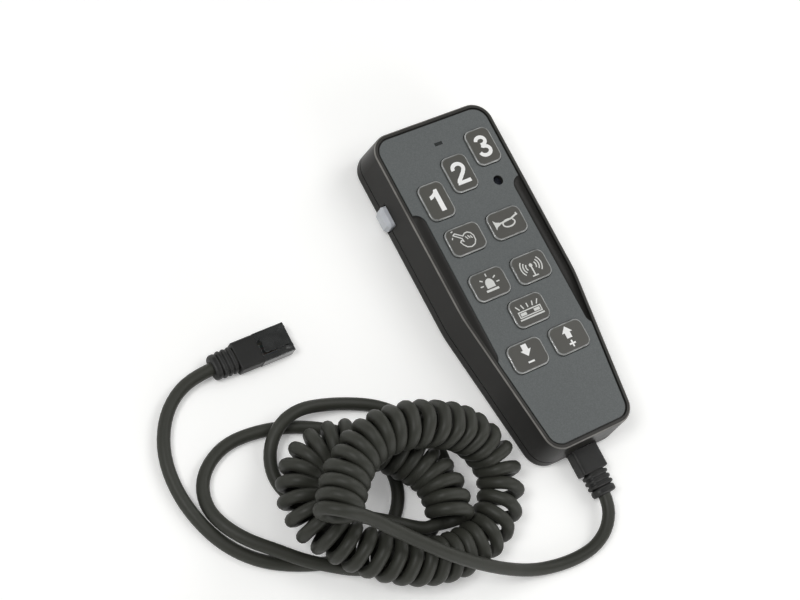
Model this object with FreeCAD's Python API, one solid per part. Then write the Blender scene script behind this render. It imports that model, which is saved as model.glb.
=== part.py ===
import FreeCAD, Part
import math
import os

# A hand-held keypad microphone on a coiled cord.
# Millimetres. It lies on its back: keys up (+Z), head towards +Y, cord leaving towards -Y,
# talk button on -X. Origin: centre of the handset's footprint, on the surface it lies on.

V = FreeCAD.Vector
UP = V(0, 0, 1)
ALONG = V(0, 1, 0)
ACROSS = V(1, 0, 0)

# ---- handset outline at the back face ----
length = 141.4
head_width = 57.2
knee_width = 56.4          # where the straight sides end and the taper to the foot begins
knee_below_head = 79.6
foot_width = 40.6
head_radius = 9.5
knee_radius = 60.0
foot_radius = 9.0

# ---- handset section ----
height = 21.2
draft = 1.5                # the walls lean in by this much from back to front
parting = 6.5              # height of the joint between the two shells
wall = 2.2
floor = 2.2
rim_rise = 0.8             # of the rim above the panel's seat
roof_thickness = 1.8       # under the panel
panel_thickness = 0.5
rim_width = 1.5
rim_groove = 0.7
back_fillet = 3.0
rim_fillet = 0.8
reveal_depth = 0.4
reveal_height = 0.5
lip_thickness = 0.9
lip_height = 1.4
lip_gap = 0.2

# ---- finger scallops beside the keys ----
scallop_edge = 20.7        # half the width of the face panel between them
scallop_top_below_head = 35.5
scallop_length = 66.0
scallop_round = 4.5
scallop_radius = 6.0
scallop_depth = 0.8        # below the panel's seat

# ---- keys ----
key_long = 15.6
key_short = 11.6
number_long = 15.4
number_short = 11.4
key_corner = 3.0
key_rise = 0.9             # above the face panel
key_gap = 0.25
key_travel = 0.8
key_edge_round = 0.5
key_flange = 0.8           # how far the flange reaches under the roof
key_flange_thickness = 1.4
key_flange_gap = 0.3
stem_diameter = 3.0
key_stop_gap = 0.3         # left below the stem at the end of its travel
label_border = 0.6
label_thickness = 0.25

# Each key: name, x, distance below the head's edge, upright or not
keys = [
    ("one", -13.0, 33.7, True),
    ("two", 1.8, 26.6, True),
    ("three", 16.6, 19.7, True),
    ("manual", -9.7, 51.8, False),
    ("horn", 9.7, 51.8, False),
    ("siren", -9.7, 71.5, False),
    ("radio", 9.7, 71.5, False),
    ("lightbar", 0.0, 86.6, False),
    ("volume_down", -9.7, 102.2, False),
    ("volume_up", 9.7, 102.2, False),
]

# ---- circuit board and what is on it ----
board_bottom = 11.0
board_thickness = 1.6
board_gap = 0.8
board_post_gap = 0.5
board_screw_gap = 0.1
switch_side = 6.0
switch_height = 3.1
switch_bore = 3.7
switch_floor = 0.5
led_length = 1.6
led_width = 0.8
led_height = 0.6
led_offset = 4.6
processor_side = 9.0
processor_height = 1.2
amplifier_width = 5.0
amplifier_depth = 4.0
regulator_width = 6.5
regulator_depth = 3.5
regulator_height = 1.6
resistor_count = 9
resistor_width = 0.8
resistor_length = 1.6
resistor_height = 0.5
resistor_pitch = 3.0

# ---- microphone behind its hole ----
mic_x = 15.8
mic_below_head = 34.5
mic_hole = 4.1
mic_diameter = 9.7
mic_height = 4.4
mic_boot_wall = 0.9
mesh_diameter = 5.6
mesh_thickness = 0.25
mesh_gap = 0.1
mic_above_board = 0.5
mic_boot_margin = 0.5      # the boot's sound hole is this much wider than the hole in the face

# ---- status light ----
status_below_head = 12.3
status_width = 3.5
status_length = 1.4
status_led_width = 3.0
status_led_depth = 2.0
status_led_height = 1.4
status_lens_above = 2.2    # from the board to the lens
status_lens_flange = 0.8

# ---- posts and screws ----
post_radius = 3.2
post_split = 8.0
head_post_x = 20.5
head_post_in = 7.3
foot_post_x = 13.2
foot_post_in = 9.9
case_screw = 2.6
case_screw_head = 4.7
case_screw_hole = 2.9
case_screw_length = 13.0
screw_seat = 3.0
screw_head_height = 2.0
board_screw = 2.2
board_screw_head = 4.0
board_screw_head_height = 1.4
board_screw_length = 5.0
screw_recess_width = 0.6
screw_recess_reach = 0.6   # of the head's diameter
screw_head_gap = 0.15
board_boss_radius = 2.4
board_bosses = [(-14.0, 16.8), (0.0, 119.8), (21.6, 44.3)]     # x, distance below the head

# ---- talk button ----
talk_below_head = 29.2
talk_length = 9.0
talk_bottom = 2.9
talk_height = 7.4
talk_proud = 1.95          # beyond the side at its own level
talk_bevel = 1.3
talk_corner = 1.6
talk_flange_gap = 0.3      # inside the wall
talk_gap = 0.3
talk_travel = 1.2
talk_flange_side = 0.9
talk_flange_below = 0.4
talk_flange_thickness = 1.0
talk_stem_level = 6.6
talk_stem_length = 5.5
talk_switch_width = 7.0
talk_switch_depth = 6.0
talk_switch_bottom = 3.8
talk_stem_engaged = 1.3

# ---- cord, plugs and their boots ----
cord_diameter = 4.9
coil_diameter = 17.5
cord_axis = 5.6            # height of the cord where it leaves the handset
plug_width = 11.7
plug_below = 3.25          # from the cord's axis to the plug's contact side
plug_above = 2.6
plug_nose = 13.0
plug_tail_width = 8.4
plug_tail_length = 5.0
plug_tail_step = 0.8       # the tail is this much lower and thinner than the nose
plug_corner = 0.3
contact_count = 8
contact_pitch = 1.02
contact_thickness = 0.4
contact_length = 5.0
contact_depth = 2.4
contact_inset = 0.9        # from the nose to the contacts
latch_width = 6.0
latch_thickness = 0.8
latch_root = 12.0
latch_end = 1.4
latch_rise = 1.2
latch_gap = 0.3
cheek_width = 0.9
cheek_length = 2.0
cheek_height = 1.3
cheek_inset = 1.4          # of the cheeks' far side behind the latch's root
boot_width = 11.4
boot_height = 6.8
boot_length = 9.0
boot_bevel = 0.7
boot_gap = 0.15            # between the boot and the foot wall
rib_count = 3
rib_width = 9.5
rib_height = 7.0
rib_thickness = 1.0
rib_pitch = 2.1
rib_margin = 1.1           # from the boot's block to the first rib
rib_last_margin = 0.8
rib_core_width = 7.0
rib_core_height = 5.5
collar_width = 8.3
collar_height = 6.7
collar_length = 2.6
boot_corner = 1.0
rib_corner = 2.4
rib_core_corner = 1.6
collar_corner = 2.6
cord_in_boot = 5.6

# ---- jack inside the foot ----
jack_wall = 0.8            # beside the plug
jack_bottom = 1.5
jack_length = 14.5
jack_gap = 0.15
jack_end_wall = 3.8
pocket_gap = 0.2
latch_way_height = 1.6     # room above the plug for its latch
latch_way_overlap = 0.2    # into the plug's own way
foot_way_gap = 0.3         # round the plug where it passes the foot wall
pin_pitch = 1.27
pin_row_pitch = 1.6
pin_inset = 1.2            # from the jack's back to the nearer row
pin_radius = 0.3
pin_gap = 0.15
pin_above_board = 0.6

# ---- where the far plug lies ----
far_plug_nose = V(-85.9, 13.6, 3.65)

# Route of the cord from the handset's boot to the coil, along the coil, and on to the far plug.
tail_from_handset = [
    (0, -84, 5.6), (0, -92.5, 5.6), (-4.5, -100.5, 4.5), (-12, -105, 3), (-21, -106, 2.6),
    (-31, -105, 2.6), (-42, -102.5, 5), (-57, -97, 14), (-73.5, -88.5, 25), (-85, -79, 30),
    (-95, -70, 34.5), (-104, -62, 39.5), (-110, -56.5, 42.3),
]
coil_route = [
    (-112, -58, 36), (-105.5, -49.5, 35), (-96.5, -41.5, 34.5), (-86, -37.5, 34.5), (-75, -38, 34),
    (-61.5, -41, 30), (-47.5, -46.5, 21), (-38.5, -55.5, 13), (-37.5, -66, 9.5), (-42, -75.5, 9),
    (-51.5, -83, 9), (-64.5, -86, 9.5), (-79.5, -84, 13), (-92, -78.5, 16.5), (-102.5, -70.5, 18),
    (-111.5, -60, 18), (-114.5, -49.5, 16), (-112, -40.5, 14.5), (-106, -33.5, 13.5),
    (-97, -30.5, 14.5), (-87, -33, 15), (-77.5, -39, 15), (-69.5, -46.5, 14), (-64, -55, 13),
    (-63.5, -68, 13.5),
]
tail_to_far_plug = [
    (-57.5, -70, 7.2), (-69, -71, 8), (-79.5, -67, 8.5), (-89.5, -60.5, 5.5), (-98.5, -54, 2.6),
    (-107, -47.5, 2.6), (-113.5, -38.5, 2.6), (-114.5, -29.5, 2.6), (-111.5, -21, 5.5),
    (-105, -15.5, 8.5), (-96.5, -13.5, 8.5), (-86.5, -15, 6), (-75.5, -18, 3), (-65.5, -23, 2.6),
    (-58, -30.5, 2.6), (-52, -40.5, 2.6), (-51, -53, 2.6), (-56.5, -64.5, 2.6), (-68.5, -73.5, 2.6),
    (-81.5, -78, 2.6), (-93.5, -77.5, 4), (-104, -74.5, 7), (-113, -69, 8.5), (-120.5, -63.5, 8.5),
    (-128, -56, 8.5), (-135, -49, 7.5), (-140, -41, 6), (-142, -32.5, 3.5), (-140, -24, 2.6),
    (-134, -17.5, 2.6), (-124.5, -13.5, 2.6), (-112, -14, 2.6), (-100.5, -17, 2.6), (-90, -22, 2.6),
    (-81, -28.5, 2.6), (-75, -36.5, 2.6), (-72, -46, 2.6), (-73.5, -55.5, 2.6), (-79.5, -63.5, 2.6),
    (-89, -68.5, 2.6), (-100.5, -70, 2.6), (-112, -67.5, 2.6), (-124, -62.5, 2.6), (-134, -56, 2.6),
    (-142, -46.5, 2.6), (-147, -34.5, 2.6), (-149, -21.5, 2.6), (-147.5, -8.5, 2.6), (-142, 2.5, 2.6),
    (-134, 10, 3.2), (-123.5, 13.6, 3.65), (-112, 13.6, 3.65),
]

# ---- worked out from the sizes above ----
head_y = length / 2
foot_y = -length / 2
board_top = board_bottom + board_thickness
stem_end = board_top + switch_floor + key_travel + key_stop_gap
panel_floor = height - rim_rise
roof_inside = panel_floor - roof_thickness
panel_top = panel_floor + panel_thickness
key_top = panel_top + key_rise
flange_top = roof_inside - key_flange_gap
flange_bottom = flange_top - key_flange_thickness
talk_y = head_y - talk_below_head
side_slope = (head_width - knee_width) / 2 / knee_below_head
talk_side = head_width / 2 - side_slope * talk_below_head
talk_face = -talk_side - talk_proud
talk_flange_top = talk_bottom + talk_height + talk_flange_below
talk_wall = wall + draft * talk_flange_top / height + side_slope * (talk_length / 2 + talk_flange_side)
talk_flange_face = -talk_side + talk_wall + talk_flange_gap
talk_stem_tip = talk_flange_face + talk_flange_thickness + talk_stem_length
jack_width = plug_width + 2 * (jack_gap + jack_wall)
jack_front = foot_y + wall + draft * board_bottom / height + jack_gap
jack_back = jack_front + jack_length
boot_front = foot_y - boot_gap
plug_height = plug_below + plug_above
plug_middle = (plug_above - plug_below) / 2
posts = [(side * x, y) for x, y in ((head_post_x, head_y - head_post_in),
                                    (foot_post_x, foot_y + foot_post_in)) for side in (-1, 1)]


def inset_at(level):
    """How far the drafted wall stands inside the back outline at a height."""
    return draft * level / height


def rounded_loop(corners, radii, level):
    """Closed wire of straight lines and corner arcs, anticlockwise."""
    ends = []
    count = len(corners)
    for i in range(count):
        corner = V(corners[i].x, corners[i].y, level)
        before = V(corners[i - 1].x, corners[i - 1].y, level) - corner
        after = V(corners[(i + 1) % count].x, corners[(i + 1) % count].y, level) - corner
        half_turn = (math.pi - before.getAngle(after)) / 2
        reach = radii[i] * math.tan(half_turn)
        start = corner + before.normalize() * reach
        end = corner + after.normalize() * reach
        bisector = (before + after).normalize()
        middle = corner + bisector * (radii[i] / math.cos(half_turn) - radii[i])
        ends.append((start, middle, end))
    edges = []
    for i in range(count):
        start, middle, end = ends[i]
        edges.append(Part.Arc(start, middle, end).toShape())
        edges.append(Part.LineSegment(end, ends[(i + 1) % count][0]).toShape())
    return Part.Wire(edges)


def outline(inset, level):
    """The handset's outline at a height, moved in by a distance from the back outline."""
    half_head = head_width / 2
    half_knee = knee_width / 2
    half_foot = foot_width / 2
    knee_y = head_y - knee_below_head
    right = [(half_foot, foot_y), (half_knee, knee_y), (half_head, head_y)]
    left = [(-x, y) for x, y in reversed(right)]
    corners = [V(x, y, 0) for x, y in right + left]
    radii = [foot_radius, knee_radius, head_radius, head_radius, knee_radius, foot_radius]
    moved = []
    for i, corner in enumerate(corners):
        before = (corner - corners[i - 1]).normalize()
        after = (corners[(i + 1) % len(corners)] - corner).normalize()
        left_of_before = V(-before.y, before.x, 0)
        left_of_after = V(-after.y, after.x, 0)
        shift = inset / (1 + left_of_before.dot(left_of_after))
        moved.append(corner + (left_of_before + left_of_after) * shift)
    return rounded_loop(moved, [radius - inset for radius in radii], level)


def body(bottom, top, inset=0.0):
    """Solid between two heights whose wall follows the drafted outline, moved in by inset."""
    low = outline(inset_at(bottom) + inset, bottom)
    high = outline(inset_at(top) + inset, top)
    return Part.makeLoft([low, high], True, True)


def prism(bottom, top, inset):
    """Upright solid whose outline is taken at its own bottom height."""
    face = Part.Face(outline(inset_at(bottom) + inset, bottom))
    return face.extrude(UP * (top - bottom))


def plate(x, y, width, depth, corner, bottom, top):
    """Upright rounded rectangle about a centre."""
    corners = [V(x - width / 2, y - depth / 2, 0), V(x + width / 2, y - depth / 2, 0),
               V(x + width / 2, y + depth / 2, 0), V(x - width / 2, y + depth / 2, 0)]
    face = Part.Face(rounded_loop(corners, [corner] * 4, bottom))
    return face.extrude(UP * (top - bottom))


def block(x, y, z, width, depth, tall):
    """Box about a centre in x and y, standing on z."""
    return Part.makeBox(width, depth, tall, V(x - width / 2, y - depth / 2, z))


def peg(radius, x, y, bottom, top):
    return Part.makeCylinder(radius, top - bottom, V(x, y, bottom), UP)


def bar(width, tall, corner, start, end, mid=0.0):
    """Rounded rectangle bar along Y about the cord's axis."""
    flat = plate(0, mid, width, tall, corner, 0, end - start)
    flat.rotate(V(0, 0, 0), ACROSS, 90)
    flat.translate(V(0, end, 0))
    return flat


def edges_at(solid, level):
    """Edges that lie wholly at one height."""
    return [edge for edge in solid.Edges
            if all(abs(vertex.Z - level) < 0.001 for vertex in edge.Vertexes)
            and edge.BoundBox.ZLength < 0.001]


def joined(solids):
    return solids[0].fuse(solids[1:]).removeSplitter()


def export(name, shape):
    shape.exportStep("parts/" + name + ".step")
    print(name, "solids", len(shape.Solids), "volume", round(shape.Volume, 1), "valid", shape.isValid())


# ---------------------------------------------------------------- openings shared by the shells

def talk_opening():
    width = talk_flange_face - talk_face
    return block(talk_face + width / 2, talk_y, talk_bottom - talk_gap, width,
                 talk_length + 2 * talk_gap, talk_height + 2 * talk_gap)


def foot_opening():
    """Way through the foot wall for the plug and its latch."""
    body_slot = bar(plug_width + 2 * foot_way_gap, plug_height + 2 * foot_way_gap,
                    plug_corner + foot_way_gap, foot_y - 1, jack_front, plug_middle)
    latch_slot = bar(latch_width + 2 * foot_way_gap, latch_way_height, plug_corner, foot_y - 1,
                     jack_front, plug_above + latch_way_height / 2 - latch_way_overlap)
    opening = body_slot.fuse(latch_slot)
    opening.translate(V(0, 0, cord_axis))
    return opening


# ---------------------------------------------------------------- shells and face

def rear_cover():
    shell = body(0, parting - reveal_height)
    shell = shell.makeFillet(back_fillet, edges_at(shell, 0))
    shell = shell.fuse(body(parting - reveal_height, parting, reveal_depth))
    shell = shell.cut(body(floor, parting, wall))
    lip = body(parting, parting + lip_height, wall - lip_thickness)
    shell = shell.fuse(lip.cut(body(parting, parting + lip_height, wall)))
    for x, y in posts:
        shell = shell.fuse(peg(post_radius, x, y, floor - 0.5, post_split))
    for x, y in posts:
        shell = shell.cut(peg(case_screw_head / 2 + screw_head_gap, x, y, 0, screw_seat))
        shell = shell.cut(peg(case_screw_hole / 2, x, y, screw_seat, post_split))
    pocket = block(0, (jack_front + jack_back) / 2, jack_bottom, jack_width + 2 * pocket_gap,
                   jack_length + 2 * pocket_gap, floor)
    return shell.cut([pocket, talk_opening(), foot_opening()]).removeSplitter()


def scallop(side):
    """Dish between the face panel and the rim."""
    top = head_y - scallop_top_below_head
    reach = math.sqrt(scallop_radius ** 2 - (scallop_radius - scallop_depth) ** 2)
    x = side * (scallop_edge + reach)
    z = panel_floor - scallop_depth + scallop_radius
    start = V(x, top - scallop_length + reach, z)
    end = V(x, top - reach, z)
    dish = Part.makeCylinder(scallop_radius, scallop_length - 2 * reach, start, ALONG)
    dish = dish.fuse([Part.makeSphere(scallop_radius, start), Part.makeSphere(scallop_radius, end)])
    return dish.common(prism(roof_inside, height, rim_width + inset_at(height - roof_inside)))


def key_size(upright):
    return (number_short, number_long) if upright else (key_long, key_short)


def key_openings(bottom, top):
    holes = []
    for name, x, below_head, upright in keys:
        width, depth = key_size(upright)
        holes.append(plate(x, head_y - below_head, width + 2 * key_gap, depth + 2 * key_gap,
                           key_corner + key_gap, bottom, top))
    return holes


def light_opening(bottom, top):
    return block(0, head_y - status_below_head, bottom, status_width, status_length, top - bottom)


def front_housing():
    shell = body(parting, height)
    shell = shell.makeFillet(rim_fillet, edges_at(shell, height))
    shell = shell.cut(body(parting, roof_inside, wall))
    rebate = body(parting, parting + lip_height + lip_gap, wall - lip_thickness - lip_gap)
    shell = shell.cut(rebate)
    shell = shell.cut(prism(panel_floor, height, rim_width + draft - inset_at(panel_floor)))
    shell = shell.cut([scallop(-1), scallop(1)])
    mic_y = head_y - mic_below_head
    extras = [peg(post_radius, x, y, post_split, roof_inside + 0.5) for x, y in posts]
    extras += [peg(board_boss_radius, x, head_y - below, board_top, roof_inside + 0.5)
               for x, below in board_bosses]
    shell = shell.fuse(extras)
    cuts = key_openings(roof_inside - 1, height)
    cuts += [peg(case_screw / 2, x, y, post_split - 1, screw_seat + case_screw_length) for x, y in posts]
    cuts += [peg(board_screw / 2, x, head_y - below, board_bottom, board_bottom + board_screw_length)
             for x, below in board_bosses]
    cuts += [peg(mic_hole / 2, mic_x, mic_y, roof_inside, height)]
    cuts += [peg(mesh_diameter / 2 + mesh_gap, mic_x, mic_y, roof_inside, roof_inside + mesh_thickness)]
    cuts += [light_opening(roof_inside - 1, height), talk_opening(), foot_opening()]
    return shell.cut(cuts).removeSplitter()


def face_panel():
    panel = prism(panel_floor, panel_top, rim_width + rim_groove + draft - inset_at(panel_floor))
    top = head_y - scallop_top_below_head
    for side in (-1, 1):
        width = head_width / 2
        panel = panel.cut(plate(side * (scallop_edge + width / 2), top - scallop_length / 2, width,
                                scallop_length, scallop_round, panel_floor - 1, panel_top + 1))
    panel = panel.cut(key_openings(panel_floor - 1, panel_top + 1))
    hole = peg(mic_hole / 2, mic_x, head_y - mic_below_head, panel_floor - 1, panel_top + 1)
    return panel.cut([hole, light_opening(panel_floor - 1, panel_top + 1)])


# ---------------------------------------------------------------- inside

def circuit_board():
    board = prism(board_bottom, board_top, wall + board_gap)
    cuts = [peg(post_radius + board_post_gap, x, y, board_bottom, board_top) for x, y in posts]
    cuts += [peg(board_screw / 2 + board_screw_gap, x, head_y - below, board_bottom, board_top)
             for x, below in board_bosses]
    cuts += [peg(pin_radius + pin_gap, x, y, board_bottom, board_top) for x, y in jack_pins()]
    return board.cut(cuts)


def key_switches():
    switches = []
    for name, x, below_head, upright in keys:
        y = head_y - below_head
        case = block(x, y, board_top, switch_side, switch_side, switch_height)
        switches.append(case.cut(peg(switch_bore / 2, x, y, board_top + switch_floor,
                                     board_top + switch_height)))
    return Part.makeCompound(switches)


def backlight_leds():
    lamps = []
    for name, x, below_head, upright in keys:
        y = head_y - below_head
        for side in (-1, 1):
            across = 0 if upright else side * led_offset
            along = side * led_offset if upright else 0
            width, depth = (led_length, led_width) if upright else (led_width, led_length)
            lamps.append(block(x + across, y + along, board_top, width, depth, led_height))
    return Part.makeCompound(lamps)


def board_chips():
    processor = block(0, 5, board_bottom - processor_height, processor_side, processor_side,
                      processor_height)
    amplifier = block(10, 20, board_bottom - processor_height, amplifier_width, amplifier_depth,
                      processor_height)
    regulator = block(-9, -24, board_bottom - regulator_height, regulator_width, regulator_depth,
                      regulator_height)
    row_start = -(resistor_count - 1) / 2 * resistor_pitch
    resistors = [block(row_start + i * resistor_pitch, -10, board_bottom - resistor_height,
                       resistor_width, resistor_length, resistor_height)
                 for i in range(resistor_count)]
    return Part.makeCompound([processor, amplifier, regulator] + resistors)


def talk_switch():
    back = talk_stem_tip - talk_stem_engaged
    middle = back + talk_switch_depth / 2
    case = block(middle, talk_y, talk_switch_bottom, talk_switch_depth, talk_switch_width,
                 board_bottom - talk_switch_bottom)
    bore = Part.makeCylinder(switch_bore / 2, talk_stem_engaged + talk_travel + 1,
                             V(back, talk_y, talk_stem_level), ACROSS)
    return case.cut(bore)


def mic_parts():
    y = head_y - mic_below_head
    low = board_top + mic_above_board
    capsule = peg(mic_diameter / 2, mic_x, y, low, low + mic_height)
    boot = peg(mic_diameter / 2 + mic_boot_wall, mic_x, y, board_top, roof_inside)
    sound_hole = peg(mic_hole / 2 + mic_boot_margin, mic_x, y, low + mic_height, roof_inside)
    boot = boot.cut([capsule, sound_hole])
    mesh = peg(mesh_diameter / 2, mic_x, y, roof_inside, roof_inside + mesh_thickness)
    return capsule, boot, mesh


def status_light():
    y = head_y - status_below_head
    led = block(0, y, board_top, status_led_width, status_led_depth, status_led_height)
    lens_bottom = board_top + status_lens_above
    lens = block(0, y, lens_bottom, status_width, status_length, panel_top - lens_bottom)
    flange = block(0, y, roof_inside - status_lens_flange, status_width + 2 * status_lens_flange,
                   status_length + 2 * status_lens_flange, status_lens_flange)
    return led, lens.fuse(flange).removeSplitter()


def jack_pins():
    return [((i - (contact_count - 1) / 2) * pin_pitch, jack_back - pin_inset - pin_row_pitch * (i % 2))
            for i in range(contact_count)]


def cord_jack():
    middle = (jack_front + jack_back) / 2
    case = block(0, middle, jack_bottom, jack_width, jack_length, board_bottom - jack_bottom)
    inner_end = jack_back - jack_end_wall
    hollow = bar(plug_width + 2 * jack_gap, plug_height + 2 * jack_gap, plug_corner,
                 jack_front - 1, inner_end, plug_middle)
    slot = bar(latch_width + 4 * jack_gap, latch_way_height, plug_corner, jack_front - 1, inner_end,
               plug_above + latch_way_height / 2 - latch_way_overlap)
    hollow = hollow.fuse(slot)
    hollow.translate(V(0, 0, cord_axis))
    return case.cut(hollow)


def jack_contacts():
    return Part.makeCompound([peg(pin_radius, x, y, board_bottom, board_top + pin_above_board)
                              for x, y in jack_pins()])


def screw(x, y, head_diameter, head_height, diameter, seat, shaft):
    """Screw with its head below the seat and its shaft above it, with a cross recess."""
    head = peg(head_diameter / 2, x, y, seat - head_height, seat)
    slots = [block(x, y, seat - head_height, wide, deep, head_height / 2)
             for wide, deep in ((head_diameter * screw_recess_reach, screw_recess_width),
                                (screw_recess_width, head_diameter * screw_recess_reach))]
    return head.fuse(peg(diameter / 2, x, y, seat, seat + shaft)).cut(slots).removeSplitter()


def case_screws():
    return Part.makeCompound([screw(x, y, case_screw_head, screw_head_height, case_screw, screw_seat,
                                    case_screw_length) for x, y in posts])


def board_screws():
    return Part.makeCompound([screw(x, head_y - below, board_screw_head, board_screw_head_height,
                                    board_screw, board_bottom, board_screw_length)
                              for x, below in board_bosses])


# ---------------------------------------------------------------- keys and talk button

def key_parts(x, below_head, upright):
    y = head_y - below_head
    width, depth = key_size(upright)
    cap = plate(x, y, width, depth, key_corner, flange_top, key_top)
    cap = cap.makeFillet(key_edge_round, edges_at(cap, key_top))
    flange = plate(x, y, width + 2 * key_flange, depth + 2 * key_flange, key_corner + key_flange,
                   flange_bottom, flange_top)
    stem = peg(stem_diameter / 2, x, y, stem_end, flange_bottom)
    label = plate(x, y, width - 2 * label_border, depth - 2 * label_border,
                  key_corner - label_border, key_top - label_thickness, key_top)
    return cap.fuse([flange, stem]).cut(label).removeSplitter(), label


def talk_button():
    knob = Part.makeBox(talk_flange_face - talk_face, talk_length, talk_height,
                        V(talk_face, talk_y - talk_length / 2, talk_bottom))
    knob = knob.makeFillet(talk_corner, [edge for edge in knob.Edges if edge.BoundBox.XLength > 1])
    front = [edge for edge in knob.Edges if edge.BoundBox.XMax < talk_face + 0.001]
    knob = knob.makeChamfer(talk_bevel, front)
    flange = Part.makeBox(talk_flange_thickness, talk_length + 2 * talk_flange_side,
                          talk_height + 2 * talk_flange_below,
                          V(talk_flange_face, talk_y - talk_length / 2 - talk_flange_side,
                            talk_bottom - talk_flange_below))
    stem = Part.makeCylinder(stem_diameter / 2, talk_stem_length,
                             V(talk_flange_face + talk_flange_thickness, talk_y, talk_stem_level),
                             ACROSS)
    return knob.fuse([flange, stem]).removeSplitter()


# ---------------------------------------------------------------- plugs and boots
# Each is made with its cord axis on Y: the boot's front at 0, the plug's nose towards +Y.

def plug_body():
    nose = bar(plug_width, plug_height, plug_corner, 0, plug_nose, plug_middle)
    return nose.fuse(plug_tail()).cut(contact_slots()).removeSplitter()


def plug_tail():
    """The narrower part that the boot grips."""
    return bar(plug_tail_width, plug_height - 2 * plug_tail_step, plug_corner, -plug_tail_length, 0,
               plug_middle)


def contact_slots():
    middle = plug_nose - contact_inset - contact_length / 2
    return Part.makeCompound([block((i - (contact_count - 1) / 2) * contact_pitch, middle,
                                    -plug_below, contact_thickness, contact_length, contact_depth)
                              for i in range(contact_count)])


def fixed_latch():
    """The latch of the plug that is pushed home, pressed nearly flat in the jack."""
    return Part.makeBox(latch_width, latch_root - latch_end, latch_thickness,
                        V(-latch_width / 2, latch_end, plug_above))


def free_latch():
    """Springing latch: a low rounded root at the nose and an arm that rises towards the boot."""
    low = plug_above + latch_gap
    profile = Part.makePolygon([V(0, latch_root, low), V(0, latch_root, low + latch_thickness),
                                V(0, latch_end, low + latch_rise + latch_thickness),
                                V(0, latch_end, low + latch_rise), V(0, latch_root, low)])
    arm = Part.Face(profile).extrude(ACROSS * latch_width)
    arm.translate(V(-latch_width / 2, 0, 0))
    return arm


def latch_mount():
    """Two cheeks on the plug's nose that carry the latch's root."""
    first = -latch_width / 2 - latch_gap - cheek_width
    return [Part.makeBox(cheek_width, cheek_length, cheek_height,
                         V(x, latch_root - cheek_inset, plug_above))
            for x in (first, latch_width / 2 + latch_gap)]


def boot():
    ribs_end = -boot_length - rib_count * rib_pitch - rib_last_margin
    end = ribs_end - collar_length
    shell = bar(boot_width, boot_height, boot_corner, -boot_length, 0)
    shell = shell.makeChamfer(boot_bevel, [edge for edge in shell.Edges
                                           if abs(edge.BoundBox.YMax + boot_length) < 0.001])
    pieces = [shell, bar(rib_core_width, rib_core_height, rib_core_corner, ribs_end, -boot_length),
              bar(collar_width, collar_height, collar_corner, end, ribs_end)]
    for i in range(rib_count):
        start = -boot_length - rib_margin - i * rib_pitch
        pieces.append(bar(rib_width, rib_height, rib_corner, start - rib_thickness, start))
    bore = Part.makeCylinder(cord_diameter / 2, cord_in_boot, V(0, end, 0), ALONG)
    return joined(pieces).cut([plug_tail(), bore])


def at_handset(shape):
    shape.translate(V(0, boot_front, cord_axis))
    return shape


def at_far_end(shape):
    shape.rotate(V(0, 0, 0), UP, -90)
    shape.translate(far_plug_nose - V(plug_nose, 0, 0))
    return shape


# ---------------------------------------------------------------- cord

def rounded_path(points):
    """Straight runs joined by tangent arcs; each arc as large as its two runs allow."""
    route = [V(*point) for point in points]
    edges = []
    radii = []
    last = route[0]
    for i in range(1, len(route) - 1):
        back = route[i - 1] - route[i]
        ahead = route[i + 1] - route[i]
        half_turn = (math.pi - back.getAngle(ahead)) / 2
        reach = 0.45 * min(back.Length, ahead.Length)
        radius = reach / math.tan(half_turn)
        radii.append(round(radius, 1))
        back.normalize()
        ahead.normalize()
        start = route[i] + back * reach
        end = route[i] + ahead * reach
        middle = route[i] + (back + ahead).normalize() * (radius / math.cos(half_turn) - radius)
        edges.append(Part.LineSegment(last, start).toShape())
        edges.append(Part.Arc(start, middle, end).toShape())
        last = end
    edges.append(Part.LineSegment(last, route[-1]).toShape())
    return Part.Wire(edges), radii


def cord_tube(name, points, diameter):
    path, radii = rounded_path(points)
    first = V(*points[0])
    ring = Part.Wire(Part.makeCircle(diameter / 2, first, V(*points[1]) - first))
    solid = path.makePipeShell([ring], True, False)
    expected = math.pi * diameter ** 2 / 4 * path.Length
    print(name, "length", round(path.Length, 1), "smallest radius", min(radii),
          "volume to section times length", round(solid.Volume / expected, 4), radii)
    export(name, solid)


# ---------------------------------------------------------------- everything

os.makedirs("parts", exist_ok=True)
export("rear_cover", rear_cover())
export("front_housing", front_housing())
export("face_panel", face_panel())
export("circuit_board", circuit_board())
export("key_switches", key_switches())
export("backlight_leds", backlight_leds())
export("board_chips", board_chips())
export("talk_switch", talk_switch())
for mic_name, mic_shape in zip(("mic_capsule", "mic_boot", "mic_mesh"), mic_parts()):
    export(mic_name, mic_shape)
for light_name, light_shape in zip(("status_led", "status_lens"), status_light()):
    export(light_name, light_shape)
export("cord_jack", cord_jack())
export("jack_contacts", jack_contacts())
export("case_screws", case_screws())
export("board_screws", board_screws())
export("talk_button", talk_button())
for key_name, key_x, key_below, key_upright in keys:
    key_cap, key_label = key_parts(key_x, key_below, key_upright)
    export("key_cap_" + key_name, key_cap)
    export("key_label_" + key_name, key_label)
export("handset_plug", at_handset(plug_body().fuse(fixed_latch()).removeSplitter()))
export("handset_plug_contacts", at_handset(contact_slots()))
export("handset_plug_boot", at_handset(boot()))
export("far_plug", at_far_end(plug_body().fuse(latch_mount()).removeSplitter()))
export("far_plug_contacts", at_far_end(contact_slots()))
export("far_plug_boot", at_far_end(boot()))
export("far_plug_latch", at_far_end(free_latch()))
cord_tube("cord_tail_handset", tail_from_handset, cord_diameter)
cord_tube("cord_coil", coil_route, coil_diameter)
cord_tube("cord_tail_plug", tail_to_far_plug, cord_diameter)
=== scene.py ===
# Hand microphone with ten keys, a talk button and a coiled cord with a plug at each end.
# Sizes are in mm where no unit is given.
import math

import bmesh
import bpy
from mathutils import Matrix, Vector


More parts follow.
